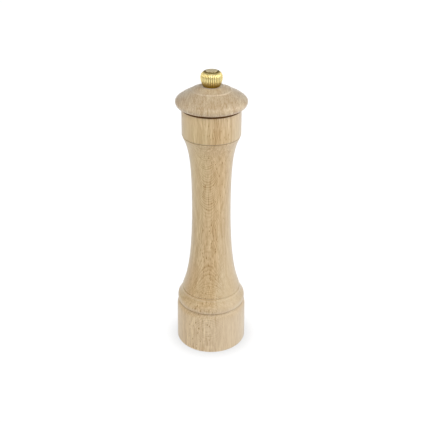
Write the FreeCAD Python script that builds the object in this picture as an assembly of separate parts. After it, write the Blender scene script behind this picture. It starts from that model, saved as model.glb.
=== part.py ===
import FreeCAD, Part
import math
import os

# A turned wooden pepper mill: body, overhanging head, fluted knob and the grinder inside.
# Sizes in millimetres. The origin is the centre of the foot, +Z is up along the turning axis.

# Turned outside of the body
foot_r = 27.0
foot_edge = 0.35
base_top_r = 26.7
base_top_z = 29.6
groove_r = 24.3
groove_z = 34.2
groove_flat = 0.3
groove_low_z = 33.35
groove_high_z = 35.1
bead_r = 25.98
bead_z = 37.2
bead_edge_r = 25.45
bead_edge_z = 40.3
crease_r = 22.45
crease_z = 45.8
crease_depth = 0.7
crease_width = 1.05
waist_r = 14.38
waist_z = 119.0
neck_r = 20.7
neck_z = 172.05
collar_r = 21.13
collar_z = 173.1
body_top_z = 192.3
rim_edge = 0.35

# Points that the curves of the body pass through, and the poles that draw them, as (radius, height)
shoulder_through = (26.32, 31.6)
shoulder_end_r = 25.3
bead_start_r = 25.6
hollow_through = (23.65, 43.0)
crease_top_r = 22.25
flare_pole = (21.2, 51.8)
waist_low_pole_z = 62.2
waist_high_pole_z = 155.3
neck_pole = (16.85, 163.9)
quirk_depth = 0.5

# Bores of the body, from the underside up
recess_r = 21.5
recess_z = 9.0
pocket_r = 13.85
pocket_z = 31.2
chamber_r = 10.0
mouth_r = 13.2
mouth_z = 175.6

# Head
head_gap = 0.05
land_r = 16.0
slot_r = 16.3
head_rim_r = 22.4
head_rim_z = 193.7
head_r = 25.4
head_wide_z = 197.7
dome_step_r = 14.2
dome_step_z = 205.68
seat_r = 8.4
seat_z = 208.3
spigot_r = 12.9
spigot_z = 178.3
spigot_edge = 0.6
head_bore_r = 4.6
head_bore_z = 203.0
stud_hole_r = 3.0
rim_pole = (23.9, 194.05)
rim_wide_pole_z = 195.3
dome_wide_pole_z = 199.9
dome_pole = (20.8, 202.65)
dome_step = 0.33
dome_rise = 0.55

# Fluted knob: above and below its widest circle, (r / knob_r)^power + (height / rise or drop)^power = 1
knob_r = 7.76
knob_wide_z = 214.2
knob_rise = 5.63
knob_rise_power = 2.15
knob_drop = 10.07
knob_drop_power = 1.71
knob_foot_z = 208.35
knob_shoulder_r = 4.9
knob_top_z = 219.7
knob_bore_r = 2.55
knob_bore_z = 217.2
knob_levels = 9
flute_count = 36
flute_depth = 0.45

# Square shaft with a threaded stud on top and a riveted end below
shaft_side = 6.0
shaft_chamfer = 0.3
shaft_top_z = 199.5
stud_r = 2.5
stud_top_z = 214.6
stud_tip = 0.6
rivet_r = 4.4
rivet_height = 1.1
square_play = 0.07

# Grinder
ring_r = 13.8
ring_height = 11.0
throat_r = 8.2
ring_mouth_r = 10.4
ring_low_r = 10.6
grind_half_angle = 25.0
grind_gap = 0.75
fine_teeth = 32
fine_depth = 0.6
fine_twist = 14.0
coarse_teeth = 12
coarse_depth = 1.0
coarse_twist = 24.0
rotor_low_z = 8.0
rotor_top_z = 20.8
rotor_skirt = 0.8
rotor_collar_r = 6.2
rotor_collar_height = 1.2
rotor_flutes = 7
rotor_flute_root_r = 5.1
rotor_flute_twist = 75.0
rotor_flute_levels = 5
rotor_washer_r = 5.2
rotor_washer_height = 1.0

# Bridge, thrust washer and spring
strap_thickness = 1.2
strap_width = 8.0
strap_reach = 13.2
strap_bend = 1.6
eye_r = 6.2
eye_hole_r = 4.12
thrust_r = 6.5
thrust_height = 0.95
thrust_gap = 0.05
wire_d = 1.0
coil_r = 5.2
coil_turns = 4.5
coil_gap = 0.05

# Plates and screws
plate_thickness = 1.2
plate_ring_r = 15.6
plate_hole_r = 12.2
ear_x = 17.2
ear_r = 3.4
ear_hole_r = 1.45
retaining_shank_r = 1.25
retaining_length = 11.0
retaining_head_r = 2.6
retaining_head_height = 1.5
driver_thickness = 1.4
driver_half_length = 12.0
driver_half_width = 5.6
driver_screw_x = 8.7
driver_shank_r = 1.1
driver_length = 10.0
driver_head_r = 2.3
driver_head_height = 1.2
screw_tip = 2.5
screw_point_r = 0.2
screw_round = 0.7

# Heights that follow from the pieces stacked on each other
ring_low_z = recess_z
ring_top_z = ring_low_z + ring_height
throat_z = ring_low_z + (ring_low_r - throat_r) / math.tan(math.radians(grind_half_angle))
strap_z = pocket_z - strap_thickness
thrust_top_z = strap_z - thrust_gap
thrust_z = thrust_top_z - thrust_height
plate_z = recess_z - plate_thickness
driver_z = spigot_z - driver_thickness
rotor_washer_z = rotor_low_z - rotor_washer_height
up = FreeCAD.Vector(0, 0, 1)
origin = FreeCAD.Vector(0, 0, 0)


class Outline:
    # A half section in the XZ plane, drawn edge by edge as (radius, height) points, then turned about Z.
    def __init__(self, r, z):
        self.first = FreeCAD.Vector(r, 0, z)
        self.last = self.first
        self.edges = []

    def add(self, curve, end):
        self.edges.append(curve.toShape())
        self.last = end
        return self

    def line(self, r, z):
        end = FreeCAD.Vector(r, 0, z)
        return self.add(Part.LineSegment(self.last, end), end)

    def arc(self, through_r, through_z, r, z):
        end = FreeCAD.Vector(r, 0, z)
        return self.add(Part.Arc(self.last, FreeCAD.Vector(through_r, 0, through_z), end), end)

    def bezier(self, *poles):
        curve = Part.BezierCurve()
        points = [FreeCAD.Vector(r, 0, z) for r, z in poles]
        curve.setPoles([self.last] + points)
        return self.add(curve, points[-1])

    def turned(self):
        self.line(self.first.x, self.first.z)
        return Part.Face(Part.Wire(self.edges)).revolve(origin, up, 360)


def rod(r, low, high, x=0.0, y=0.0):
    return Part.makeCylinder(r, high - low, FreeCAD.Vector(x, y, low))


def cone(low_r, high_r, low, high, x=0.0):
    return Part.makeCone(low_r, high_r, high - low, FreeCAD.Vector(x, 0, low))


def box(low, high):
    size = [b - a for a, b in zip(low, high)]
    return Part.makeBox(*size, FreeCAD.Vector(*low))


def square_bar(side, chamfer, low, high):
    # A square bar on the Z axis with its long corners broken.
    h = side / 2
    c = h - chamfer
    corners = [(h, -c), (h, c), (c, h), (-c, h), (-h, c), (-h, -c), (-c, -h), (c, -h)]
    points = [FreeCAD.Vector(x, y, low) for x, y in corners]
    return Part.Face(Part.makePolygon(points + points[:1])).extrude(up * (high - low))


def square_hole(low, high):
    h = shaft_side / 2 + square_play
    return box((-h, -h, low), (h, h, high))


def star(tip_r, root_r, count, z, turn, land=0.5):
    # A closed toothed outline. Each tooth has a land at the tip, a steep front and a long back slope.
    step = 2 * math.pi / count
    points = []
    for i in range(count):
        a = math.radians(turn) + i * step
        for r, part in ((tip_r, 0.0), (tip_r, land * 0.5), (root_r, land)):
            points.append(FreeCAD.Vector(r * math.cos(a + part * step), r * math.sin(a + part * step), z))
    return Part.makePolygon(points + points[:1])


def toothed(sections):
    return Part.makeLoft(sections, True, True)


def pan_screw(x):
    # Pan head below the retaining plate, shank up into the wood.
    top = plate_z + retaining_length
    head = rod(retaining_head_r, plate_z - retaining_head_height, plate_z, x)
    low_edge = [e for e in head.Edges if e.isClosed() and e.BoundBox.ZMax < plate_z - screw_round]
    head = head.makeFillet(screw_round, low_edge)
    shank = rod(retaining_shank_r, plate_z, top - screw_tip, x)
    tip = cone(retaining_shank_r, screw_point_r, top - screw_tip, top, x)
    return head.fuse([shank, tip]).removeSplitter()


def flat_screw(x):
    # Countersunk head flush with the underside of the driver plate, shank up into the spigot.
    top = driver_z + driver_length
    head = cone(driver_head_r, driver_shank_r, driver_z, driver_z + driver_head_height, x)
    shank = rod(driver_shank_r, driver_z + driver_head_height, top - screw_tip, x)
    tip = cone(driver_shank_r, screw_point_r, top - screw_tip, top, x)
    return head.fuse([shank, tip]).removeSplitter()


def make_shaft():
    low = rotor_washer_z
    bar = square_bar(shaft_side, shaft_chamfer, low, shaft_top_z)
    stud = rod(stud_r, shaft_top_z, stud_top_z - stud_tip)
    tip = cone(stud_r, stud_r - stud_tip, stud_top_z - stud_tip, stud_top_z)
    rivet = Outline(0, low - rivet_height)
    rivet.arc(rivet_r * 0.8, low - rivet_height * 0.65, rivet_r, low)
    rivet.line(0, low)
    return bar.fuse([stud, tip, rivet.turned()]).removeSplitter()


def make_body(screws):
    line = Outline(recess_r, foot_edge)
    line.line(recess_r + foot_edge, 0)
    line.line(foot_r - foot_edge, 0)
    line.line(foot_r, foot_edge)
    line.line(base_top_r, base_top_z)
    # rounded shoulder, groove, bead and the hollow above it
    line.arc(*shoulder_through, shoulder_end_r, groove_low_z)
    line.line(groove_r, groove_z - groove_flat / 2)
    line.line(groove_r, groove_z + groove_flat / 2)
    line.line(bead_start_r, groove_high_z)
    line.arc(bead_r, bead_z, bead_edge_r, bead_edge_z)
    line.arc(*hollow_through, crease_r, crease_z)
    # incised crease, then the long sweep down to the waist and up to the collar
    line.line(crease_r - crease_depth, crease_z + crease_width * 0.3)
    line.line(crease_r - crease_depth, crease_z + crease_width * 0.65)
    line.line(crease_top_r, crease_z + crease_width)
    line.bezier(flare_pole, (waist_r, waist_low_pole_z), (waist_r, waist_z))
    line.bezier((waist_r, waist_high_pole_z), neck_pole, (neck_r, neck_z))
    line.line(neck_r - quirk_depth, (neck_z + collar_z) / 2)
    line.line(collar_r, collar_z)
    line.line(collar_r, body_top_z - rim_edge)
    line.line(collar_r - rim_edge, body_top_z)
    # mouth for the head, pepper chamber, grinder pocket and recess
    line.line(mouth_r + rim_edge, body_top_z)
    line.line(mouth_r, body_top_z - rim_edge)
    line.line(mouth_r, mouth_z)
    line.line(chamber_r, mouth_z)
    line.line(chamber_r, pocket_z)
    line.line(pocket_r, pocket_z)
    line.line(pocket_r, recess_z)
    line.line(recess_r, recess_z)
    return line.turned().cut(screws)


def make_head(screws):
    low = body_top_z + head_gap
    line = Outline(head_bore_r, spigot_z)
    line.line(spigot_r - spigot_edge, spigot_z)
    line.line(spigot_r, spigot_z + spigot_edge)
    # the head bears on a narrow land, with an open slot round it under the rim
    line.line(spigot_r, low)
    line.line(land_r, low)
    line.line(slot_r, head_rim_z)
    line.line(head_rim_r, head_rim_z)
    line.bezier(rim_pole, (head_r, rim_wide_pole_z), (head_r, head_wide_z))
    line.bezier((head_r, dome_wide_pole_z), dome_pole, (dome_step_r, dome_step_z))
    line.line(dome_step_r - dome_step, dome_step_z + dome_rise)
    line.line(seat_r, seat_z)
    line.line(stud_hole_r, seat_z)
    line.line(stud_hole_r, head_bore_z)
    line.line(head_bore_r, head_bore_z)
    return line.turned().cut(screws)


def make_knob():
    # Ball drawn by its angle from the widest circle, flutes as a star outline that follows the ball.
    low_angle = -math.asin(((knob_wide_z - knob_foot_z) / knob_drop) ** (knob_drop_power / 2))
    high_angle = math.acos((knob_shoulder_r / knob_r) ** (knob_rise_power / 2))
    sections = []
    for i in range(knob_levels):
        a = low_angle + (high_angle - low_angle) * i / (knob_levels - 1)
        power = knob_rise_power if a > 0 else knob_drop_power
        height = abs(math.sin(a)) ** (2 / power)
        z = knob_wide_z + height * (knob_rise if a > 0 else -knob_drop)
        r = knob_r * math.cos(a) ** (2 / power)
        points = []
        for k in range(2 * flute_count):
            turn = math.pi * k / flute_count
            reach = r - flute_depth * (k % 2)
            points.append(FreeCAD.Vector(reach * math.cos(turn), reach * math.sin(turn), z))
        sections.append(Part.makePolygon(points + points[:1]))
    ball = toothed(sections)
    shoulder_z = ball.BoundBox.ZMax
    cap_r = knob_shoulder_r - flute_depth
    cap = Outline(0, shoulder_z).line(cap_r, shoulder_z)
    cap.arc(cap_r * 0.62, shoulder_z + (knob_top_z - shoulder_z) * 0.68, 0, knob_top_z)
    bore = rod(knob_bore_r, knob_foot_z - 1, knob_bore_z)
    return ball.fuse(cap.turned()).cut(bore)


def make_ring():
    # Outer cylinder with two toothed funnels cut from it: fine teeth below the throat, coarse above.
    past = 0.2
    low_r = ring_low_r + past * math.tan(math.radians(grind_half_angle))
    fine = toothed([
        star(low_r, low_r + fine_depth, fine_teeth, ring_low_z - past, 0),
        star(throat_r, throat_r + fine_depth, fine_teeth, throat_z, fine_twist)])
    top_r = ring_mouth_r + past * (ring_mouth_r - throat_r) / (ring_top_z - throat_z)
    coarse = toothed([
        star(throat_r, throat_r + coarse_depth, coarse_teeth, throat_z, 0),
        star(top_r, top_r + coarse_depth, coarse_teeth, ring_top_z + past, -coarse_twist)])
    return rod(ring_r, ring_low_z, ring_top_z).cut([fine, coarse])


def make_rotor():
    # Fine teeth on the lower cone, spiral flutes above them, a plain collar under the spring.
    slope = math.tan(math.radians(grind_half_angle))
    low_z = rotor_low_z + rotor_skirt
    low_r = throat_r - grind_gap + slope * (throat_z - low_z)
    high_r = throat_r - grind_gap
    skirt = rod(low_r - fine_depth, rotor_low_z, low_z)
    fine = toothed([
        star(low_r, low_r - fine_depth, fine_teeth, low_z, 0),
        star(high_r, high_r - fine_depth, fine_teeth, throat_z, -fine_twist)])
    collar_low = rotor_top_z - rotor_collar_height
    sections = []
    for i in range(rotor_flute_levels):
        t = i / (rotor_flute_levels - 1)
        z = throat_z + t * (collar_low - throat_z)
        r = high_r + t * (rotor_collar_r - high_r)
        sections.append(star(r, rotor_flute_root_r, rotor_flutes, z, -rotor_flute_twist * t))
    collar = rod(rotor_collar_r, collar_low, rotor_top_z)
    bar = square_bar(shaft_side, shaft_chamfer, rotor_low_z - 1, rotor_top_z + 1)
    return skirt.fuse([fine, toothed(sections), collar]).removeSplitter().cut(bar)


def make_rotor_washer():
    disc = rod(rotor_washer_r, rotor_washer_z, rotor_low_z)
    return disc.cut(square_bar(shaft_side, shaft_chamfer, rotor_washer_z - 1, rotor_low_z + 1))


def make_bridge():
    # A strip bent into a staple: the strap under the pocket's ceiling, two legs down to the ring.
    half = strap_width / 2
    inner = strap_reach - strap_thickness
    block = box((-strap_reach, -half, ring_top_z), (strap_reach, half, pocket_z))
    hollow = box((-inner, -half, ring_top_z), (inner, half, strap_z))
    corners = [e for e in block.Edges if e.BoundBox.ZMin > strap_z and e.BoundBox.XLength < strap_bend]
    staple = block.makeFillet(strap_bend, corners).cut(hollow)
    eye = rod(eye_r, strap_z, pocket_z)
    return staple.fuse(eye).removeSplitter().cut(rod(eye_hole_r, strap_z - 1, pocket_z + 1))


def make_thrust_washer():
    return rod(thrust_r, thrust_z, thrust_top_z).cut(square_hole(thrust_z - 1, thrust_top_z + 1))


def biarc(p0, t0, p1, t1):
    # Two tangent arcs from p0 to p1 that leave along t0 and arrive along t1.
    v = p1 - p0
    s = t0 + t1
    a = 4 - s.dot(s)
    b = v.dot(s)
    d = (math.sqrt(b * b + a * v.dot(v)) - b) / a
    q0 = p0 + t0 * d
    q1 = p1 - t1 * d
    joint = (q0 + q1) * 0.5
    edges = []
    for start, corner, end in ((p0, q0, joint), (joint, q1, p1)):
        w = (end - start).Length / (2 * d)
        middle = (start + corner * (2 * w) + end) * (1 / (2 + 2 * w))
        edges.append(Part.Arc(start, middle, end).toShape())
    return edges


def make_spring():
    # A right-hand helix from under the thrust washer down to the rotor, on biarcs of a quarter turn.
    start_z = thrust_z - wire_d / 2 - coil_gap
    end_z = rotor_top_z + wire_d / 2 + coil_gap
    pitch = (start_z - end_z) / coil_turns
    quarters = round(coil_turns * 4)

    def place(turn):
        a = 2 * math.pi * turn
        return FreeCAD.Vector(coil_r * math.cos(a), -coil_r * math.sin(a), start_z - pitch * turn)

    def heading(turn):
        a = 2 * math.pi * turn
        across = 2 * math.pi * coil_r
        return FreeCAD.Vector(-across * math.sin(a), -across * math.cos(a), -pitch).normalize()

    edges = []
    for k in range(quarters):
        edges += biarc(place(k / 4), heading(k / 4), place((k + 1) / 4), heading((k + 1) / 4))
    path = Part.Wire(edges)
    section = Part.Wire(Part.makeCircle(wire_d / 2, place(0), heading(0)))
    spring = path.makePipeShell([section], True, False)
    points = [place(k / 48) for k in range(round(coil_turns * 48) + 1)]
    gaps = [(p - q).Length - wire_d for i, p in enumerate(points) for q in points[i + 24:]]
    print("spring: least gap to itself", round(min(gaps), 2), "mm")
    drawn = math.pi * wire_d ** 2 / 4 * path.Length
    print("spring: volume", round(spring.Volume, 2), "against section times length", round(drawn, 2))
    return spring


def make_retaining_plate():
    disc = rod(plate_ring_r, plate_z, recess_z)
    ears = box((-ear_x, -ear_r, plate_z), (ear_x, ear_r, recess_z))
    ends = [rod(ear_r, plate_z, recess_z, x) for x in (-ear_x, ear_x)]
    holes = [rod(ear_hole_r, plate_z - 1, recess_z + 1, x) for x in (-ear_x, ear_x)]
    holes.append(rod(plate_hole_r, plate_z - 1, recess_z + 1))
    return disc.fuse([ears] + ends).removeSplitter().cut(holes)


def make_driver_plate(screws):
    # An oblong plate with round ends, cut to the spigot's circle, with a square hole for the shaft.
    disc = rod(driver_half_length, driver_z, spigot_z)
    corner = (driver_half_length, driver_half_width)
    plate = disc.common(box((-corner[0], -corner[1], driver_z), (*corner, spigot_z)))
    return plate.cut([square_hole(driver_z - 1, spigot_z + 1)] + screws)


retaining_screws = [pan_screw(x) for x in (-ear_x, ear_x)]
driver_screws = [flat_screw(x) for x in (-driver_screw_x, driver_screw_x)]
pieces = {
    "body": make_body(retaining_screws),
    "head": make_head(driver_screws),
    "adjusting_knob": make_knob(),
    "drive_shaft": make_shaft(),
    "driver_plate": make_driver_plate(driver_screws),
    "grinder_ring": make_ring(),
    "grinder_rotor": make_rotor(),
    "rotor_washer": make_rotor_washer(),
    "bridge": make_bridge(),
    "thrust_washer": make_thrust_washer(),
    "grinder_spring": make_spring(),
    "retaining_plate": make_retaining_plate(),
}
for number, screw in enumerate(retaining_screws, 1):
    pieces["retaining_screw_%d" % number] = screw
for number, screw in enumerate(driver_screws, 1):
    pieces["driver_screw_%d" % number] = screw

os.makedirs("parts", exist_ok=True)
for name, shape in pieces.items():
    state = "valid" if shape.isValid() else "not valid"
    print(name, state, len(shape.Solids), "solid", round(shape.Volume, 1), "cubic mm")
    shape.Solids[0].exportStep("parts/%s.step" % name)
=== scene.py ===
import math
import bpy
import numpy as np
from mathutils import Matrix, Vector


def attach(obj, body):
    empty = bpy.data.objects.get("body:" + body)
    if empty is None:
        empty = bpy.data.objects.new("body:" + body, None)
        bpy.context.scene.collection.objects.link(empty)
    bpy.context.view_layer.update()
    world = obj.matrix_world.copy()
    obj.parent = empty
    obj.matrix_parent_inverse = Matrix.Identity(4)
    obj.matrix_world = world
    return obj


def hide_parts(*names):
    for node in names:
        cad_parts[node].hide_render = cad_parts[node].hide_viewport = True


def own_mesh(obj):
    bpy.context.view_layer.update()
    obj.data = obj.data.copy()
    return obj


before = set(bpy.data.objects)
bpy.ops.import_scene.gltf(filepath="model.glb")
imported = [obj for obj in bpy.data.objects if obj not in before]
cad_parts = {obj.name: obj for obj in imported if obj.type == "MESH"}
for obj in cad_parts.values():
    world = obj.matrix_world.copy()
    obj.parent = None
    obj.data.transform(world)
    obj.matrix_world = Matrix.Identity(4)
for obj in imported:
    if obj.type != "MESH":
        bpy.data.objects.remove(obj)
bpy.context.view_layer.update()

mm = 0.001


# A shader socket that adds, multiplies and blends like a plain value
class Tone:
    def __init__(self, tree, out=None):
        self.tree = tree
        self.out = out

    # any node: its settings first, then the value or link of each socket, by name or number
    def node(self, kind, settings, sockets, output=0):
        made = self.tree.nodes.new(kind)
        for key, value in settings.items():
            setattr(made, key, value)
        for key, value in sockets.items():
            if isinstance(value, Tone):
                self.tree.links.new(value.out, made.inputs[key])
            else:
                made.inputs[key].default_value = value
        return Tone(self.tree, made.outputs[output])

    # another output of the same node
    def also(self, output):
        return Tone(self.tree, self.out.node.outputs[output])

    def maths(self, operation, other=0.0):
        return self.node("ShaderNodeMath", {"operation": operation}, {0: self, 1: other})

    def __add__(self, other):
        return self.maths("ADD", other)

    def __sub__(self, other):
        return self.maths("SUBTRACT", other)

    def __rsub__(self, other):
        return self.node("ShaderNodeMath", {"operation": "SUBTRACT"}, {0: other, 1: self})

    def __mul__(self, other):
        return self.maths("MULTIPLY", other)

    def __truediv__(self, other):
        return self.maths("DIVIDE", other)

    def __pow__(self, other):
        return self.maths("POWER", other)

    __radd__ = __add__
    __rmul__ = __mul__

    # 0 below low, 1 above high, eased between them
    def rise(self, low, high):
        return self.node("ShaderNodeMapRange", {"interpolation_type": "SMOOTHSTEP"},
                         {"Value": self, "From Min": low, "From Max": high})

    # 1 between two eased edges, 0 outside them
    def between(self, low, high):
        return self.rise(*low) * (1.0 - self.rise(*high))

    # 1 near a place, eased to 0 far from it
    def about(self, place, near, far):
        return 1.0 - (self - place).maths("ABSOLUTE").rise(near, far)

    # 0 to 1 becomes least to 1
    def atLeast(self, least):
        return least + self * (1 - least)

    # a vector stretched along X, Y and Z, then moved
    def spread(self, scale, shift=(0.0, 0.0, 0.0)):
        return self.node("ShaderNodeVectorMath", {"operation": "MULTIPLY_ADD"}, {0: self, 1: scale, 2: shift})

    def axis(self, number):
        return self.node("ShaderNodeSeparateXYZ", {}, {0: self}, number)

    def noise(self, detail=2.0, roughness=0.5):
        return self.node("ShaderNodeTexNoise", {}, {"Vector": self, "Scale": 1.0, "Detail": detail,
                                                    "Roughness": roughness})

    # from the first colour at 0 to the second at 1
    def blend(self, first, second):
        return self.node("ShaderNodeMix", {"data_type": "RGBA"}, {0: self, 6: first, 7: second}, 2)


# a colour as it is seen on a screen, 0 to 255, made linear
def tint(red, green, blue):
    linear = [((c / 255 + 0.055) / 1.055) ** 2.4 for c in (red, green, blue)]
    return (*linear, 1.0)


# a new material with its shader's constants, and the Object coordinates in millimetres
def startMaterial(name, constants):
    material = bpy.data.materials.new(name)
    material.use_nodes = True
    tree = material.node_tree
    shader = tree.nodes["Principled BSDF"]
    for key, value in constants.items():
        shader.inputs[key].default_value = value
    where = Tone(tree).node("ShaderNodeTexCoord", {}, {}, "Object").spread((1 / mm, 1 / mm, 1 / mm))
    return material, shader, where


def plug(shader, key, tone):
    tone.tree.links.new(tone.out, shader.inputs[key])


def plugBump(shader, height, strength, distance):
    sockets = {"Strength": strength, "Distance": distance, "Height": height}
    plug(shader, "Normal", height.node("ShaderNodeBump", {}, sockets))


# Beech. The tree's pith stands beside the blank and leans: radius is the distance from it in mm, and along
# is the way round a ring, in mm at the middle of the blank.
def grainPlace(where, look):
    pithX, pithY = look["pith"]
    distance = math.hypot(pithX, pithY)
    towardX, towardY = -pithX / distance, -pithY / distance
    z = where.axis(2)
    acrossX = where.axis(0) - pithX + (z - look["pithHeight"]) * look["lean"][0]
    acrossY = where.axis(1) - pithY + (z - look["pithHeight"]) * look["lean"][1]
    forward = acrossX * towardX + acrossY * towardY
    sideways = acrossY * towardX - acrossX * towardY
    radius = (forward * forward + sideways * sideways) ** 0.5
    along = sideways.maths("ARCTAN2", forward) * distance
    return radius, along, z


# Growth rings: ring = (radius + bend + slow wander + ripple) / spacing. The bend tips the arcs over, and its
# swells close them into ovals. A ring darkens towards its outer edge, and each by a share of its own.
def growthRings(where, radius, z, look):
    slow = where.spread(look["wanderScale"], look["seed"]).noise(1.0) - 0.5
    ripple = where.spread(look["rippleScale"], look["seed"]).noise(1.0) - 0.5
    bend = z.rise(*look["bendSpan"]) * look["bend"]
    for height, reach, swell in look["swells"]:
        bend = bend + z.about(height, 0.0, reach) * swell
    ring = (radius + bend + slow * look["wander"] + ripple * look["ripple"]) / look["spacing"]
    late = ring.maths("FRACT").between(look["lateRise"], look["lateFall"])
    weight = ring.node("ShaderNodeTexWhiteNoise", {"noise_dimensions": "1D"}, {"W": ring.maths("FLOOR")})
    return late * (look["lateLeast"] + weight)


# Ray flecks: a ray is a thin plate, narrow along the ring, a few mm tall and long across the rings, so it
# shows as a dash where the surface lies along the rings. They crowd in one column, which may fade at its top.
def rayFlecks(where, radius, along, z, look):
    place = where.node("ShaderNodeCombineXYZ", {}, {0: along, 1: radius, 2: z}).spread(look["rayScale"])
    near = place.node("ShaderNodeTexVoronoi", {}, {"Vector": place, "Scale": 1.0}, "Distance")
    chosen = near.also("Color").axis(0).rise(*look["rayChosen"])
    column = along.about(look["fleckAt"], *look["fleckWide"])
    column = column * (1.0 - z.rise(*look["fleckTop"]) * look["fleckFade"])
    return (1.0 - near.rise(*look["rayCore"])) * chosen * column.atLeast(look["fleckLeast"])


# The pale ground under the rings, from left to right: one pair of tints at the ends of the blank, and between
# them another pair that is streaked with heartwood, with a warmer stain on one side.
def groundTint(where, along, z, look):
    rightward = along.rise(*look["leftToRight"])
    ground = rightward.blend(look["leftEnd"], look["rightEnd"])
    heart, stain = look["heartZone"], look["stainZone"]
    if heart:
        streak = where.spread(heart["streakScale"], look["seed"]).noise(1.0).rise(*heart["streakSpan"])
        share = streak * heart["streakShare"] + along.about(heart["at"], *heart["wide"]) * heart["share"]
        plain = share.blend(rightward.blend(look["leftSide"], look["rightSide"]), look["heart"])
        ground = z.between(heart["low"], heart["high"]).blend(ground, plain)
    if stain:
        stained = z.between(stain["low"], stain["high"]) * along.about(stain["at"], *stain["wide"])
        ground = stained.blend(ground, look["stain"])
    return ground


# The tone runs from the ground at 0 to dark at 1: rings, flecks, and fibres from the longest to the finest,
# which also roughens the surface. Bands of painted shade and painted highlight go round at given heights.
def beech(name, look):
    constants = {"IOR": look["ior"], "Specular IOR Level": look["gloss"],
                 "Sheen Weight": look["sheen"], "Sheen Roughness": look["sheenRough"]}
    material, shader, where = startMaterial(name, constants)
    radius, along, z = grainPlace(where, look)
    middle = along.about(0.0, *look["middle"])
    rings = growthRings(where, radius, z, look)
    fleck = rayFlecks(where, radius, along, z, look)
    extra = z.between(look["ringLow"], look["ringHigh"]) * (look["fullRing"] - look["plainRing"])
    ringDepth = middle.atLeast(look["ringLeast"]) * (look["plainRing"] + extra)
    tone = look["level"] + rings * ringDepth + fleck * look["fleckDepth"]
    for scale, depth in look["fibres"]:
        fibre = where.spread(scale, look["seed"]).noise(1.0)
        tone = tone + (fibre - 0.5) * depth * middle.atLeast(look["fibreLeast"])
    colour = tone.maths("MAXIMUM", 0.0).blend(groundTint(where, along, z, look), look["dark"])
    for height, half, share, shade in look["bands"]:
        colour = (z.about(height, half * look["bandCore"], half) * share).blend(colour, look[shade])
    plug(shader, "Base Color", colour)
    plug(shader, "Roughness", look["rough"] + fibre * look["fibreRough"] - fleck * look["fleckPolish"])
    plugBump(shader, 0.0 - fibre * look["fibrePore"] - fleck * look["fleckPore"], *look["bump"])
    return material


# what both turned pieces share; lengths are in mm, scales in waves per mm, and a bump is strength and metres
beechLook = {
    "leftEnd": tint(246, 220, 172), "rightEnd": tint(243, 224, 190), "leftToRight": (-14.0, 14.0),
    "leftSide": tint(235, 213, 161), "rightSide": tint(237, 219, 182),
    "heart": tint(231, 204, 157), "stain": tint(226, 196, 144), "dark": tint(162, 114, 30),
    # tints for the bands: a painted highlight and painted shade
    "paintedHighlight": tint(255, 240, 214), "deep": tint(60, 38, 18), "bandCore": 0.4,
    "wander": 2.4, "ripple": 0.8, "lateRise": (0.2, 0.85), "lateFall": (0.88, 1.0), "lateLeast": 0.3,
    "rayChosen": (0.3, 0.9), "rayCore": (0.1, 0.34), "fleckLeast": 0.1, "ringLeast": 0.35, "fibreLeast": 0.5,
    "ior": 1.65, "gloss": 0.5, "sheen": 0.55, "sheenRough": 0.5,
    "rough": 0.36, "fibreRough": 0.12, "fleckPolish": 0.05,
    "fibrePore": 0.6, "fleckPore": 0.3, "bump": (0.2, 0.0001)}
unlit = {"deep": tint(134, 92, 48), "sheen": 0.0, "gloss": 0.05, "rough": 0.6}  # painted shade inside the slot: a darker copy of the wood, without sheen

# a band is its height, half its width, its share and its tint; a swell is its height, reach and depth
bodyWood = beechLook | {
    "pith": (11.0, 61.0), "pithHeight": 100.0, "lean": (-0.08, 0.01), "spacing": 0.48,
    "bendSpan": (95.0, 170.0), "bend": 10.0, "swells": [(21.0, 10.0, 1.5), (38.5, 5.0, 0.8)],
    "wanderScale": (0.03, 0.03, 0.03), "rippleScale": (0.12, 0.12, 0.14), "seed": (3.1, 7.7, 1.9),
    "middle": (6.0, 15.0), "level": 0.34,
    "ringLow": (50.0, 105.0), "ringHigh": (168.0, 178.0), "plainRing": 0.22, "fullRing": 0.30,
    "rayScale": (1.05, 0.07, 0.30), "fleckDepth": 0.8, "fleckAt": 1.6, "fleckWide": (3.0, 10.0),
    "fleckTop": (160.0, 174.0), "fleckFade": 0.6,
    "heartZone": {"at": 2.5, "wide": (2.0, 8.5), "low": (34.0, 46.0), "high": (178.0, 196.0), "share": 0.8,
                  "streakScale": (0.22, 0.22, 0.012), "streakSpan": (0.3, 0.7), "streakShare": 0.3},
    "stainZone": {"at": -7.5, "wide": (2.0, 7.0), "low": (36.0, 48.0), "high": (62.0, 85.0)},
    # painted shade in the groove below the bead, in the crease above it, in the crease under the collar and
    # on the top face in the slot; a painted highlight on the slope above the bead
    "bands": [(34.0, 1.3, 0.16, "deep"), (46.4, 0.9, 0.05, "deep"), (44.9, 0.9, 0.15, "paintedHighlight"),
              (172.55, 0.7, 0.3, "deep"), (192.5, 0.7, 0.95, "deep")],
    "fibres": [((0.30, 0.30, 0.012), 0.32), ((0.62, 0.62, 0.035), 0.44), ((1.2, 1.2, 0.08), 0.60),
               ((2.6, 2.6, 0.18), 0.80)]}
bodyBeech = beech("beechBody", bodyWood)
# painted shade: a darker copy of the body's wood for its top face inside the slot under the head
shadedSlotBeech = beech("beechSlotShade", bodyWood | unlit)

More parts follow.
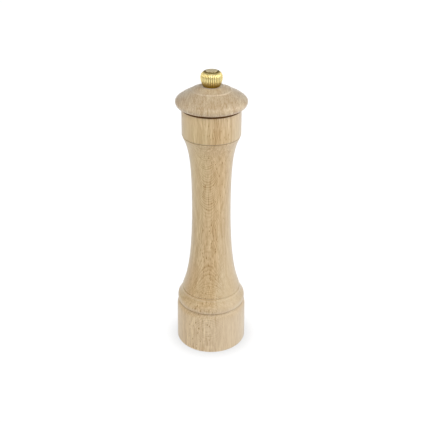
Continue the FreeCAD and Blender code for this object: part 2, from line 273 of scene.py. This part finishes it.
# the head comes from another blank, with no heartwood, and with the same rings and flecks all over
headWood = beechLook | {
    "leftEnd": tint(230, 212, 179), "rightEnd": tint(229, 213, 181),
    "pith": (-78.0, 12.0), "pithHeight": 0.0, "lean": (0.0, 0.02), "spacing": 0.9,
    "bendSpan": (180.0, 210.0), "bend": 0.0, "swells": [],
    "wanderScale": (0.03, 0.02, 0.03), "rippleScale": (0.12, 0.08, 0.12), "seed": (11.3, 2.4, 5.6),
    "middle": (60.0, 80.0), "level": 0.36,
    "ringLow": (170.0, 171.0), "ringHigh": (220.0, 221.0), "plainRing": 0.14, "fullRing": 0.14,
    "rayScale": (0.3, 0.07, 0.30), "fleckDepth": 0.16, "fleckAt": 0.0, "fleckWide": (60.0, 80.0),
    "fleckTop": (220.0, 221.0), "fleckFade": 0.0,
    "heartZone": None, "stainZone": None,
    # painted shade under the rim and in the slot, and a painted highlight on the step of the dome
    "bands": [(193.4, 1.2, 0.8, "deep"), (205.95, 0.55, 0.2, "paintedHighlight")],
    "fibres": [((0.30, 0.10, 0.05), 0.26), ((0.62, 0.14, 0.12), 0.50), ((1.2, 0.24, 0.25), 0.72),
               ((2.6, 0.8, 0.6), 0.85)]}
headBeech = beech("beechHead", headWood)
# painted shade: a darker copy of the head's wood for its land, its slot and the underside of its rim
shadedRimBeech = beech("beechRimShade", headWood | unlit)


# Polished brass with faint tarnish clouds and fine polishing lines; painted shade darkens it beside the cap
# and in the flute dips and groove, painted reflection greys the cap, and painted reflection and shade darken
# the low ball
brassLook = {
    "yellow": tint(238, 216, 142), "pale": tint(246, 229, 166),
    "cloudScale": (0.4, 0.4, 0.4), "cloudSpan": (0.3, 0.7),
    # edge and dip are painted shade, cap is a painted reflection, under is a painted reflection of the wood
    # with painted shade
    "edge": tint(140, 118, 54), "edgeSpan": (218.3, 218.8),
    "cap": tint(234, 217, 172), "capSpan": (219.05, 219.15),
    "under": tint(146, 120, 18), "underSpan": (208.4, 213.0), "dip": tint(90, 68, 26), "dipSpan": (0.2, 0.8),
    "lineScale": (1.2, 1.2, 9.0), "rough": 0.24, "lineRough": 0.06, "dipRough": 0.2, "bump": (0.02, 0.00002)}


def brass(name, look):
    material, shader, where = startMaterial(name, {"Metallic": 1.0})
    z = where.axis(2)
    dip = where.node("ShaderNodeAttribute", {"attribute_name": "dip"}, {}, "Fac")
    cloud = where.spread(look["cloudScale"]).noise(2.0)
    lines = where.spread(look["lineScale"]).noise()
    clean = cloud.rise(*look["cloudSpan"]).blend(look["yellow"], look["pale"])
    # painted shade beside the cap, a painted reflection on the cap, and painted reflection and shade low on
    # the ball
    clean = z.rise(*look["edgeSpan"]).blend(clean, look["edge"])
    clean = z.rise(*look["capSpan"]).blend(clean, look["cap"])
    clean = z.rise(*look["underSpan"]).blend(look["under"], clean)
    # painted shade in the dips between the flutes and in the groove
    plug(shader, "Base Color", dip.rise(*look["dipSpan"]).blend(clean, look["dip"]))
    plug(shader, "Roughness", look["rough"] + lines * look["lineRough"] + dip * look["dipRough"])
    plugBump(shader, lines, *look["bump"])
    return material


# Steel: drawing or turning lines along one direction, a cloudy tone and darker specks
steelLook = {"cloudScale": (0.25, 0.25, 0.25), "cloudSpan": (0.25, 0.75), "speckScale": (2.2, 2.2, 2.2),
             "speckSpan": (0.62, 0.75), "lineRough": 0.14, "speckRough": 0.08, "bump": (0.12, 0.00006)}


def steel(name, look):
    look = steelLook | look
    material, shader, where = startMaterial(name, {"Metallic": 1.0})
    lines = where.spread(look["lines"]).noise(2.0, 0.6)
    cloud = where.spread(look["cloudScale"], look["seed"]).noise(3.0)
    speck = where.spread(look["speckScale"], look["seed"]).noise().rise(*look["speckSpan"])
    tone = cloud.rise(*look["cloudSpan"]).blend(look["light"], look["deep"])
    plug(shader, "Base Color", (speck * look["specks"]).blend(tone, look["speck"]))
    plug(shader, "Roughness", look["rough"] + lines * look["lineRough"] + speck * look["speckRough"])
    plugBump(shader, lines, *look["bump"])
    return material


knobBrass = brass("knobBrass", brassLook)
shaftSteel = steel("shaftSteel", {
    "lines": (6.0, 6.0, 0.15), "seed": (1.0, 4.0, 2.0), "rough": 0.26, "specks": 0.35,
    "light": tint(196, 197, 199), "deep": tint(166, 167, 170), "speck": tint(110, 108, 106)})
zincPlate = steel("zincPlate", {
    "lines": (0.7, 5.0, 5.0), "seed": (5.0, 1.0, 7.0), "rough": 0.30, "specks": 0.3,
    "light": tint(206, 209, 213), "deep": tint(178, 182, 188), "speck": tint(132, 134, 138)})
burrSteel = steel("burrSteel", {
    "lines": (3.0, 3.0, 3.0), "seed": (2.0, 9.0, 3.0), "rough": 0.36, "specks": 0.5,
    "light": tint(128, 126, 124), "deep": tint(94, 92, 91), "speck": tint(58, 55, 52)})
springWire = steel("springWire", {
    "lines": (5.0, 5.0, 5.0), "seed": (7.0, 3.0, 1.0), "rough": 0.28, "specks": 0.3,
    "light": tint(170, 171, 174), "deep": tint(138, 139, 143), "speck": tint(92, 90, 88)})
print("materials mixed")


# A grid of points becomes quads. Columns close round; rows may too, or end in a pole of one point.
def sheet(points, loop=False, poles=(False, False)):
    rows, columns = points.shape[:2]
    index = np.arange(rows * columns).reshape(rows, columns)
    if poles[0]:
        index[0] = index[0, 0]
    if poles[1]:
        index[-1] = index[-1, 0]
    if loop:
        index = np.vstack([index, index[:1]])
    right = np.roll(index, -1, axis=1)
    quads = np.stack([index[:-1], right[:-1], right[1:], index[1:]], axis=-1).reshape(-1, 4)
    flat = points.reshape(-1, 3) * mm
    a, b, c, d = (flat[quads[:, k]] for k in range(4))
    volume = np.einsum("ij,ij->", a, np.cross(b, c) + np.cross(c, d))
    return flat, quads if volume > 0 else quads[:, ::-1]


# One object from its sheets; values, if given, go into a point attribute
def piece(name, material, sheets, attribute=None, values=None):
    points = np.vstack([s[0] for s in sheets])
    starts = np.cumsum([0] + [len(s[0]) for s in sheets[:-1]])
    quads = np.vstack([s[1] + start for s, start in zip(sheets, starts)])
    used, packed = np.unique(quads, return_inverse=True)
    faces = [tuple(dict.fromkeys(q)) for q in packed.reshape(-1, 4).tolist()]
    mesh = bpy.data.meshes.new(name)
    mesh.from_pydata(points[used].tolist(), [], faces)
    mesh.polygons.foreach_set("use_smooth", np.ones(len(faces), bool))
    if attribute:
        layer = mesh.attributes.new(attribute, "FLOAT", "POINT")
        layer.data.foreach_set("value", values.reshape(-1)[used].astype(np.float32))
    mesh.materials.append(material)
    made = bpy.data.objects.new(name, mesh)
    bpy.context.scene.collection.objects.link(made)
    print(name, "has", len(faces), "faces")
    return made


# rides on a body and stands for CAD nodes, which it hides; the slot is not used
def seat(made, body, slot, *nodes):
    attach(made, body)
    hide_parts(*nodes)
    return made


# faces whose middle lies between two radii and two heights get the shaded copy of the wood: painted shade
def paintShadeRing(made, material, radii, heights):
    made.data.materials.append(material)
    for face in made.data.polygons:
        x, y, z = face.center / mm
        if radii[0] < math.hypot(x, y) < radii[1] and heights[0] < z < heights[1]:
            face.material_index = 1
    return made


def angles(count):
    return np.arange(count)[None, :] * (2 * np.pi / count)


# points (r cos a, r sin a, z) for grids of radius and height
def turned(radius, height, around):
    level = height + 0 * radius * around
    return np.stack([radius * np.cos(around), radius * np.sin(around), level], axis=-1)


# The next stretch of a half section, as points (r, z) after its last one: straight lines through more points
def lineTo(path, *points):
    return np.vstack([path, points])


# or an arc through one more point to another
def arcTo(path, through, end, count=24):
    a, b, c = path[-1], np.array(through), np.array(end)
    ab, ac = b - a, c - a
    twice = 2 * (ab[0] * ac[1] - ab[1] * ac[0])
    lean = (ab @ ab) * ac - (ac @ ac) * ab
    centre = a + np.array([lean[1], -lean[0]]) / twice
    first, middle, last = (math.atan2(p[1] - centre[1], p[0] - centre[0]) for p in (a, b, c))
    sweep = (last - first) % (2 * math.pi)
    if (middle - first) % (2 * math.pi) > sweep:
        sweep -= 2 * math.pi
    t = first + sweep * np.linspace(0, 1, count + 1)[1:]
    reach = math.dist(a, centre)
    return np.vstack([path, centre + reach * np.stack([np.cos(t), np.sin(t)], axis=-1)])


# or a cubic Bezier curve, by its two handles and its end
def bezierTo(path, first, second, end, count=80):
    t = np.linspace(0, 1, count + 1)[1:, None]
    a, b, c, d = path[-1], np.array(first), np.array(second), np.array(end)
    curve = (1 - t) ** 3 * a + 3 * t * (1 - t) ** 2 * b + 3 * t ** 2 * (1 - t) * c + t ** 3 * d
    return np.vstack([path, curve])


# The closed section resampled finely, its corners eased by a moving average run twice, then thinned to rows
# that stand closer where it bends: a row at every equal step of length / longStep + bend / bendStep.
def eased(path, ease, longStep, bendStep=0.16, fine=0.04):
    path = np.vstack([path, path[:1]])
    length = np.concatenate([[0], np.cumsum(np.linalg.norm(np.diff(path, axis=0), axis=1))])
    even = np.arange(0, length[-1], fine)
    dense = np.stack([np.interp(even, length, path[:, k]) for k in (0, 1)], axis=-1)
    half = int(ease / fine)
    for _ in range(2):
        padded = np.pad(dense, ((half + 1, half), (0, 0)), mode="wrap")
        total = np.cumsum(padded, axis=0)
        dense = (total[2 * half + 1:] - total[:-2 * half - 1]) / (2 * half + 1)
    step = np.diff(dense, axis=0)
    heading = np.unwrap(np.arctan2(step[:, 1], step[:, 0]))
    bend = np.abs(np.diff(heading, prepend=heading[0]))
    cost = np.concatenate([[0], np.cumsum(np.linalg.norm(step, axis=1) / longStep + bend / bendStep)])
    marks = np.interp(np.linspace(0, cost[-1], int(cost[-1]) + 2)[:-1], cost, np.arange(len(dense)))
    return np.stack([np.interp(marks, np.arange(len(dense)), dense[:, k]) for k in (0, 1)], axis=-1)


# A wooden piece: its half section turned about Z, with painted shade inside the slot between body and head
def makeTurned(name, look, finish, slotShade):
    path = np.empty((0, 2))
    for stretch, points in look["section"]:
        path = stretch(path, *points)
    rows = eased(path, look["ease"], look["longStep"])
    grid = turned(rows[:, :1], rows[:, 1:], angles(look["around"]))
    made = piece(name, finish, [sheet(grid, loop=True)])
    return paintShadeRing(made, slotShade, look["slotRadii"], look["slotHeights"])


# Body: from the foot up the outside, then down the mouth, the pepper chamber and the grinder's pocket
bodyLook = {"around": 208, "ease": 0.12, "longStep": 2.2,
            "slotRadii": (15.8, 21.0), "slotHeights": (192.1, 192.6),
            "section": [
                (lineTo, [(21.5, 0.35), (21.85, 0.0), (26.65, 0.0), (27.0, 0.35), (26.7, 29.6)]),  # base
                (arcTo, [(26.32, 31.6), (25.3, 33.35)]),  # shoulder
                (lineTo, [(24.3, 34.05), (24.3, 34.35), (25.6, 35.1)]),  # groove
                (arcTo, [(25.98, 37.2), (25.45, 40.3)]),  # bead
                (arcTo, [(23.65, 43.0), (22.45, 45.8)]),  # slope above the bead
                (lineTo, [(21.75, 46.115), (21.75, 46.483), (22.25, 46.85)]),  # crease
                (bezierTo, [(21.2, 51.8), (14.38, 62.2), (14.38, 119.0)]),  # flare up to the waist
                (bezierTo, [(14.38, 155.3), (16.85, 163.9), (20.7, 172.05)]),  # neck
                (lineTo, [(20.2, 172.575), (21.13, 173.1), (21.13, 191.95), (20.78, 192.3)]),  # collar
                (lineTo, [(13.55, 192.3), (13.2, 191.95), (13.2, 175.6)]),  # mouth
                (lineTo, [(10.0, 175.6), (10.0, 31.2)]),  # chamber
                (lineTo, [(13.85, 31.2), (13.85, 9.0), (21.5, 9.0)])]}  # pocket
seat(makeTurned("turnedBody", bodyLook, bodyBeech, shadedSlotBeech), "mill_body", "beech", "body")

# Head: from the spigot out under the rim, over the dome and down its stepped hole
headLook = {"around": 208, "ease": 0.14, "longStep": 1.2,
            "slotRadii": (15.8, 24.6), "slotHeights": (192.2, 194.5),
            "section": [
                (lineTo, [(4.6, 178.3), (12.3, 178.3), (12.9, 178.9), (12.9, 192.35)]),  # spigot
                (lineTo, [(16.0, 192.35), (16.3, 193.7), (22.4, 193.7)]),  # land and slot
                (bezierTo, [(23.9, 194.05), (25.4, 195.3), (25.4, 197.7)]),  # rim
                (bezierTo, [(25.4, 199.9), (20.8, 202.65), (14.2, 205.68)]),  # dome
                (lineTo, [(13.87, 206.23), (8.4, 208.3), (3.0, 208.3)]),  # crown
                (lineTo, [(3.0, 203.0), (4.6, 203.0)])]}  # hole
seat(makeTurned("turnedHead", headLook, headBeech, shadedRimBeech), "mill_head", "beech", "head")


# Knob: (r / R)^power + (height / reach)^power = 1 about its widest circle, so r = R cos(b)^(2 / power) and
# the height is reach sin(b)^(2 / power), with one reach and power above and another below. A low cap inside a
# fine groove closes it. The flutes take depth * (1 - |cos(n a / 2)|)^sharp off the radius and fade out at
# both ends.
knobLook = {"radius": 7.76, "wide": 214.2, "rise": 5.63, "risePower": 2.4, "drop": 10.07, "dropPower": 1.71,
            "ballRows": 56, "foot": 208.35, "footEdge": 0.3, "shoulder": 4.75,
            "grooveWall": 0.2, "grooveWidth": 0.5, "grooveDepth": 0.3,
            "top": 219.7, "capLip": 0.15, "capPower": 2.2, "capRows": 16,
            "bore": 2.55, "boreTop": 217.2, "boreEdge": 0.25, "boreCorner": 0.05,
            "flutes": 36, "perFlute": 14, "depth": 0.32, "sharp": 1.6, "lowFade": 0.22, "highFade": 0.16}


def makeKnob():
    look = knobLook
    low = -math.asin(((look["wide"] - look["foot"]) / look["drop"]) ** (look["dropPower"] / 2))
    high = math.acos((look["shoulder"] / look["radius"]) ** (look["risePower"] / 2))
    b = np.linspace(low, high, look["ballRows"])
    power = np.where(b > 0, look["risePower"], look["dropPower"])
    height = np.abs(np.sin(b)) ** (2 / power) * np.where(b > 0, look["rise"], -look["drop"])
    ball = np.stack([look["radius"] * np.cos(b) ** (2 / power), look["wide"] + height], axis=-1)
    brim, edge = ball[-1, 1], look["shoulder"] - look["grooveWidth"]
    floor, lip = brim - look["grooveDepth"], brim + look["capLip"]
    groove = np.array([(look["shoulder"] - look["grooveWall"], floor), (edge, floor)])
    t = np.linspace(0, 1, look["capRows"])
    cap = np.stack([edge * (1 - t), lip + (look["top"] - lip) * (1 - (1 - t) ** look["capPower"])], axis=-1)
    bore, boreTop, foot, bevel = look["bore"], look["boreTop"], look["foot"], look["boreEdge"]
    inside = np.array([(0, boreTop), (bore, boreTop), (bore, boreTop - look["boreCorner"]),
                       (bore, foot + bevel), (bore + bevel, foot), (ball[0, 0] - look["footEdge"], foot)])
    rows = np.vstack([inside, ball, groove, cap])
    start, end = len(inside), len(inside) + len(ball)
    fade = np.zeros(len(rows))
    fade[start:end] = np.clip((b - low) / look["lowFade"], 0, 1)
    fade[start:end] *= np.clip((high - b) / look["highFade"], 0, 1)
    around = angles(look["flutes"] * look["perFlute"])
    dip = fade[:, None] * (1 - np.abs(np.cos(look["flutes"] / 2 * around))) ** look["sharp"]
    grid = turned(rows[:, :1] - look["depth"] * dip, rows[:, 1:], around)
    dip[end:end + len(groove)] = 1.0  # painted shade: the groove is as dark as the dips
    return piece("flutedKnob", knobBrass, [sheet(grid, poles=(True, True))], "dip", dip)


seat(makeKnob(), "knob", "brass", "adjusting_knob")


# Shaft: a square bar with broken corners, r = min(h / max(|cos|, |sin|), (2h - c) / (|cos| + |sin|)), riveted
# over below, and above it a stud whose thread is a triangle wave of z / pitch - a / 2 pi.
shaftLook = {"half": 3.0, "corner": 0.3, "perSide": 20, "low": 7.0, "top": 199.5, "chamfer": 0.25,
             "rivet": 4.4, "rivetDrop": 1.1, "rivetRows": 9, "stud": 2.5, "studTop": 214.6, "studTip": 0.3,
             "pitch": 0.8, "perPitch": 8, "threadDepth": 0.42, "threadStart": 0.1,
             "runIn": 1.5, "runOut": 0.8, "sharpAngle": 30}


def makeShaft():
    look = shaftLook
    half, corner, low, top = look["half"], look["corner"], look["low"], look["top"]
    depth, studTop, tip = look["threadDepth"], look["studTop"], look["studTip"]
    key = math.atan2(half - corner, half)
    side = np.linspace(-key, key, look["perSide"])
    a = np.concatenate([side + quarter * math.pi / 2 for quarter in range(4)])[None, :]
    c, s = np.abs(np.cos(a)), np.abs(np.sin(a))
    bar = np.minimum(half / np.maximum(c, s), (2 * half - corner) / (c + s))
    core = look["stud"] - depth + 0 * a
    t = np.linspace(0, math.pi / 2, look["rivetRows"])[:, None]
    z = np.arange(top + look["threadStart"], studTop - tip, look["pitch"] / look["perPitch"])[:, None]
    wave = np.abs((z / look["pitch"] - a / (2 * math.pi)) % 1.0 * 2 - 1)
    begins = np.clip((z - top - look["threadStart"]) / look["runIn"], 0, 1)
    ends = np.clip((studTop - tip - z) / look["runOut"], 0, 1)
    radius = np.vstack([look["rivet"] * np.sin(t) + 0 * a, bar, bar, bar - look["chamfer"], core,
                        core + depth * wave * (begins * ends), core - tip, 0 * a])
    height = np.vstack([low - look["rivetDrop"] * np.cos(t), [[low], [top - look["chamfer"]], [top], [top]],
                        z, [[studTop], [studTop]]])
    made = piece("squareShaft", shaftSteel, [sheet(turned(radius, height, a), poles=(True, True))])
    made.data.set_sharp_from_angle(angle=math.radians(look["sharpAngle"]))
    return made


seat(makeShaft(), "spindle", "steel", "drive_shaft")


# Spring: a round wire carried along a helix, x = R cos(a), y = R sin(a), z falling evenly with a, closed at
# its ends
springLook = {"coil": 5.2, "wire": 0.5, "turns": 4.5, "high": 28.45, "low": 21.35, "steps": 220, "sides": 14,
              "fixed": 29.0, "rotorTop": 20.8, "travel": 1.2}


def makeSpring():
    look = springLook
    t = np.linspace(0, 1, look["steps"])[:, None]
    a = -2 * np.pi * look["turns"] * t
    out = np.hstack([np.cos(a), np.sin(a), 0 * a])
    centre = look["coil"] * out + np.hstack([0 * t, 0 * t, look["high"] + (look["low"] - look["high"]) * t])
    ahead = np.gradient(centre, axis=0)
    ahead /= np.linalg.norm(ahead, axis=1, keepdims=True)
    over = np.cross(ahead, out)
    turn = angles(look["sides"])[..., None]
    ring = out[:, None] * np.cos(turn) + over[:, None] * np.sin(turn)
    ends = np.repeat(centre[[0, -1], None], look["sides"], axis=1)
    grid = np.concatenate([ends[:1], centre[:, None] + look["wire"] * ring, ends[1:]])
    return piece("coilSpring", springWire, [sheet(grid, poles=(True, True))])


spring = seat(makeSpring(), "spring_seat", "spring_steel", "grinder_spring")
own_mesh(spring)


# Screws: rows of constant y, each a loop out along the face and back along the seat, so the slot runs
# straight. A row is sqrt(R^2 - y^2) wide each way. A pan face falls back to its seat as sqrt(1 - q^6), with q
# the distance from the axis over R; a countersunk face is flat, and its back is a cone up to the shank.
screwShape = {"rows": 20, "columns": 25, "panPower": 6, "shankAround": 24, "sunk": 0.2, "point": 0.2,
              "pointLength": 2.5, "sharpAngle": 35}
screwLook = {
    "retaining_screw": {"x": 17.2, "radius": 2.6, "face": 6.3, "back": 7.8, "pan": True, "slot": 0.6,
                        "deep": 0.75, "turn": 0.5, "shank": 1.25, "tip": 18.8, "body": "mill_body"},
    "driver_screw": {"x": 8.7, "radius": 2.3, "face": 176.9, "back": 178.1, "pan": False, "slot": 0.5,
                     "deep": 0.6, "turn": -0.7, "shank": 1.1, "tip": 186.9, "body": "mill_head"}}


def makeScrew(name, look, centreX, turn):
    radius, shank, count = look["radius"], look["shank"], screwShape["rows"]
    top, seatZ, tip = look["face"], look["back"], look["tip"]
    half = look["slot"] / 2
    outer = half + (radius - half) * np.sin(np.linspace(0, math.pi / 2, count))
    y = np.concatenate([-outer[::-1], [-half, half], outer])[:, None]
    cut = np.zeros((len(y), 1), bool)
    cut[count:count + 2] = True
    across = np.sin(np.linspace(-1, 1, screwShape["columns"]) * math.pi / 2)
    x = across * np.sqrt(np.maximum(radius ** 2 - y ** 2, 0))
    q = np.minimum(np.hypot(x, y) / radius, 1)
    if look["pan"]:
        face = seatZ - (seatZ - top) * np.sqrt(1 - q ** screwShape["panPower"])
        back = seatZ + 0 * q
    else:
        face = top + 0 * q
        back = top + (seatZ - top) * np.minimum((1 - q) * radius / (radius - shank), 1)
    face = np.where(cut, np.minimum(np.maximum(face, top + look["deep"]), back), face)
    loopX = np.hstack([x, x[:, -2:0:-1]])
    loopZ = np.hstack([face, back[:, -2:0:-1]])
    c, s = math.cos(turn), math.sin(turn)
    head = np.stack([centreX + c * loopX - s * y, s * loopX + c * y, loopZ], axis=-1)
    shankR = np.array([0, shank, shank, screwShape["point"], 0])[:, None]
    root = seatZ - screwShape["sunk"]
    shankZ = np.array([root, root, tip - screwShape["pointLength"], tip, tip])[:, None]
    stem = turned(shankR, shankZ, angles(screwShape["shankAround"])) + np.array([centreX, 0, 0])
    made = piece(name, zincPlate, [sheet(head, poles=(True, True)), sheet(stem, poles=(True, True))])
    made.data.set_sharp_from_angle(angle=math.radians(screwShape["sharpAngle"]))
    return made


for kind, look in screwLook.items():
    for number, side in ((1, -1), (2, 1)):
        node = "%s_%d" % (kind, number)
        made = makeScrew(node.replace("_", ""), look, side * look["x"], look["turn"] * side)
        seat(made, look["body"], "zinc_plated_steel", node)

# Plates, washers and the grinder keep their solids' shapes and get their finishes
finishes = {"driver_plate": zincPlate, "retaining_plate": zincPlate, "bridge": zincPlate,
            "rotor_washer": zincPlate, "thrust_washer": zincPlate,
            "grinder_ring": burrSteel, "grinder_rotor": burrSteel}
for node, finish in finishes.items():
    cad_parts[node].data.materials.clear()
    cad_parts[node].data.materials.append(finish)
print("pieces in place")


# Studio: a floor that is white to the eye and in the metal and keeps the contact shadow, soft boxes, and a
# room that is white to the eye, pale in the metal, and lights the wood dimly from the front
studioLook = {"floorSize": 8.0, "floorDrop": 0.0002, "floorDark": 0.75, "floorWhite": 1.0, "floorShade": 0.1,
              "floorBounce": 0.95, "shadowReach": 0.02, "shadowSpan": (0.45, 1.0), "shadowSamples": 16,
              "frontEdge": (-0.05, 0.35), "roomFront": 0.28, "roomBack": 0.01, "frontSeen": 0.4,
              "backSeen": 0.55, "roomWhite": 1.0, "aim": (0.0, 0.0, 0.11)}
boxLook = {"rightBox": {"place": (0.75, -0.25, 0.6), "size": (1.0, 0.7), "power": 5.4, "mirrored": True},
           "leftBox": {"place": (-0.75, -0.2, 0.6), "size": (1.0, 0.7), "power": 3.05, "mirrored": True},
           "frontBox": {"place": (0.0, -0.65, 0.85), "size": (0.5, 0.5), "power": 2.1, "mirrored": True},
           "backBox": {"place": (0.0, 0.9, 0.12), "size": (0.6, 0.4), "power": 5.0, "mirrored": False}}
cameraLook = {"place": (0.00016, -0.4940, 0.3705), "tilt": 62.26, "roll": 0.13, "lens": 63.48, "sensor": 36.0}


def grey(level):
    return (level, level, level, 1.0)


def makeFloor():
    look = studioLook
    half, level = look["floorSize"] / 2, -look["floorDrop"]
    corners = [(-half, -half, level), (half, -half, level), (half, half, level), (-half, half, level)]
    mesh = bpy.data.meshes.new("paleFloor")
    mesh.from_pydata(corners, [], [(0, 1, 2, 3)])
    material = bpy.data.materials.new("paleFloor")
    material.use_nodes = True
    material.cycles.emission_sampling = "NONE"
    tree = material.node_tree
    camera = Tone(tree).node("ShaderNodeLightPath", {}, {}, "Is Camera Ray")
    seen = camera.maths("MAXIMUM", camera.also("Is Glossy Ray"))
    seen = seen.maths("MAXIMUM", camera.also("Is Transmission Ray"))
    nearby = {"Distance": look["shadowReach"]}
    clear = seen.node("ShaderNodeAmbientOcclusion", {"samples": look["shadowSamples"]}, nearby, "AO")
    tone = clear.rise(*look["shadowSpan"]).blend(grey(look["floorDark"]), grey(look["floorWhite"]))
    plain = seen.node("ShaderNodeBsdfDiffuse", {}, {"Color": grey(look["floorBounce"])})
    shade = seen.node("ShaderNodeBsdfDiffuse", {}, {"Color": grey(look["floorShade"])})
    glow = seen.node("ShaderNodeEmission", {}, {"Color": tone})
    white = seen.node("ShaderNodeAddShader", {}, {0: shade, 1: glow})
    both = seen.node("ShaderNodeMixShader", {}, {0: seen, 1: plain, 2: white})
    tree.links.new(both.out, tree.nodes["Material Output"].inputs["Surface"])
    mesh.materials.append(material)
    floor = bpy.data.objects.new("paleFloor", mesh)
    bpy.context.scene.collection.objects.link(floor)


def makeRoom():
    look = studioLook
    world = bpy.data.worlds.new("studioRoom")
    world.use_nodes = True
    tree = world.node_tree
    toward = Tone(tree).node("ShaderNodeTexCoord", {}, {}, "Generated")
    camera = toward.node("ShaderNodeLightPath", {}, {}, "Is Camera Ray")
    mirrored = camera.also("Is Glossy Ray")
    back = mirrored.blend(grey(look["roomBack"]), grey(look["backSeen"]))
    front = mirrored.blend(grey(look["roomFront"]), grey(look["frontSeen"]))
    room = (0.0 - toward.axis(1)).rise(*look["frontEdge"]).blend(back, front)
    seen = camera.maths("MAXIMUM", camera.also("Is Transmission Ray"))
    shown = seen.blend(room, grey(look["roomWhite"]))
    tree.links.new(shown.out, tree.nodes["Background"].inputs["Color"])
    bpy.context.scene.world = world


def makeBox(name, look):
    lamp = bpy.data.lights.new(name, "AREA")
    lamp.shape = "RECTANGLE"
    lamp.size, lamp.size_y = look["size"]
    lamp.energy = look["power"]
    made = bpy.data.objects.new(name, lamp)
    made.location = look["place"]
    made.rotation_euler = (Vector(studioLook["aim"]) - made.location).to_track_quat("-Z", "Y").to_euler()
    made.visible_glossy = look["mirrored"]
    bpy.context.scene.collection.objects.link(made)


def makeCamera():
    lens = bpy.data.cameras.new("viewer")
    lens.sensor_width = cameraLook["sensor"]
    lens.lens = cameraLook["lens"]
    made = bpy.data.objects.new("viewer", lens)
    made.location = cameraLook["place"]
    turn = Matrix.Rotation(math.radians(cameraLook["tilt"]), 4, "X")
    made.rotation_euler = (turn @ Matrix.Rotation(math.radians(cameraLook["roll"]), 4, "Z")).to_euler()
    bpy.context.scene.collection.objects.link(made)
    bpy.context.scene.camera = made


makeFloor()
makeRoom()
for name, look in boxLook.items():
    makeBox(name, look)
makeCamera()
bpy.context.scene.view_settings.view_transform = "Standard"
print("studio lit")
